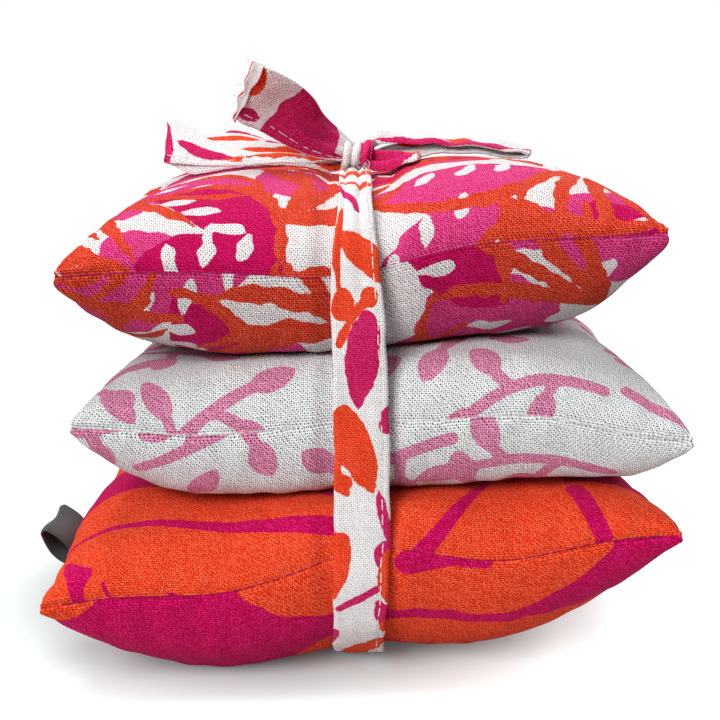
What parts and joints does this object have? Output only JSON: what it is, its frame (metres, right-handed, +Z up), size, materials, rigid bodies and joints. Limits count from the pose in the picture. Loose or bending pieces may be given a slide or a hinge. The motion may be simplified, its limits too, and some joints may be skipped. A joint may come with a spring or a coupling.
{
  "type": "lavender sachet stack",
  "caption": "Stack of square cotton sachets filled with dried lavender, held together by a flat cotton tie with a bow on top.",
  "frame": {"origin": "on the surface that the stack stands on, under the middle of the tie, at the middle of the stack's depth", "axes": "+X to the right seen from the front, where the bow lies nearest, +Y to the back along the tie, +Z up"},
  "size_m": [0.1225, 0.1192, 0.1152],
  "materials": {
    "bottom_cotton": "plain-weave cotton printed in magenta and orange, matt",
    "middle_cotton": "plain-weave cotton printed in pink on white, matt",
    "top_cotton": "plain-weave cotton printed in orange, magenta and pink on white, matt",
    "dried_lavender": "loose dried buds, dull",
    "sewing_thread": "spun polyester thread, slightly shiny",
    "label_tape": "woven grey tape with a faint sheen",
    "tie_cotton": "plain-weave cotton printed in magenta and orange on white, matt",
    "tie_thread": "spun white thread, matt"
  },
  "bodies": {
    "bottom_sachet_and_tie": {"bottom_upper_panel": "bottom_cotton", "bottom_lower_panel": "bottom_cotton", "bottom_lavender_filling": "dried_lavender", "bottom_seam_stitching": "sewing_thread", "tie_band": "tie_cotton", "tie_topstitching": "tie_thread", "tie_knot": "tie_cotton"},
    "middle_sachet": {"middle_upper_panel": "middle_cotton", "middle_lower_panel": "middle_cotton", "middle_lavender_filling": "dried_lavender", "middle_seam_stitching": "sewing_thread"},
    "top_sachet": {"top_upper_panel": "top_cotton", "top_lower_panel": "top_cotton", "top_lavender_filling": "dried_lavender", "top_seam_stitching": "sewing_thread"},
    "label_tape": {"label_tape_loop": "label_tape"},
    "left_loop": {"bow_left_loop": "tie_cotton"},
    "right_loop": {"bow_right_loop": "tie_cotton"},
    "raised_tail": {"bow_raised_tail": "tie_cotton"},
    "lying_tail": {"bow_lying_tail": "tie_cotton"}
  },
  "joints": [
    {"name": "middle_sachet_swivel", "type": "hinge", "parent": "bottom_sachet_and_tie", "child": "middle_sachet", "pos_m": [0.0046, 0, 0.0495], "axis": [0, 0, 1], "range_deg": [-4, 4]},
    {"name": "top_sachet_swivel", "type": "hinge", "parent": "bottom_sachet_and_tie", "child": "top_sachet", "pos_m": [-0.0021, 0, 0.0793], "axis": [0, 0, 1], "range_deg": [-4, 4]},
    {"name": "label_tape_fold", "type": "hinge", "parent": "bottom_sachet_and_tie", "child": "label_tape", "pos_m": [-0.05466, -0.02767, 0.01992], "axis": [-0.0043, 0.9999, 0.0132], "range_deg": [-95, 15]},
    {"name": "left_loop_lift", "type": "hinge", "parent": "bottom_sachet_and_tie", "child": "left_loop", "pos_m": [-0.005, -0.003, 0.09727], "axis": [0, 1, 0], "range_deg": [0, 50]},
    {"name": "right_loop_lift", "type": "hinge", "parent": "bottom_sachet_and_tie", "child": "right_loop", "pos_m": [0.005, -0.0026, 0.09777], "axis": [0, -1, 0], "range_deg": [0, 50]},
    {"name": "raised_tail_lift", "type": "hinge", "parent": "bottom_sachet_and_tie", "child": "raised_tail", "pos_m": [-0.00455, -0.0096, 0.09786], "axis": [0, 1, 0], "range_deg": [-20, 40]},
    {"name": "lying_tail_lift", "type": "hinge", "parent": "bottom_sachet_and_tie", "child": "lying_tail", "pos_m": [0.00455, -0.0096, 0.09687], "axis": [0, -1, 0], "range_deg": [0, 60]}
  ]
}
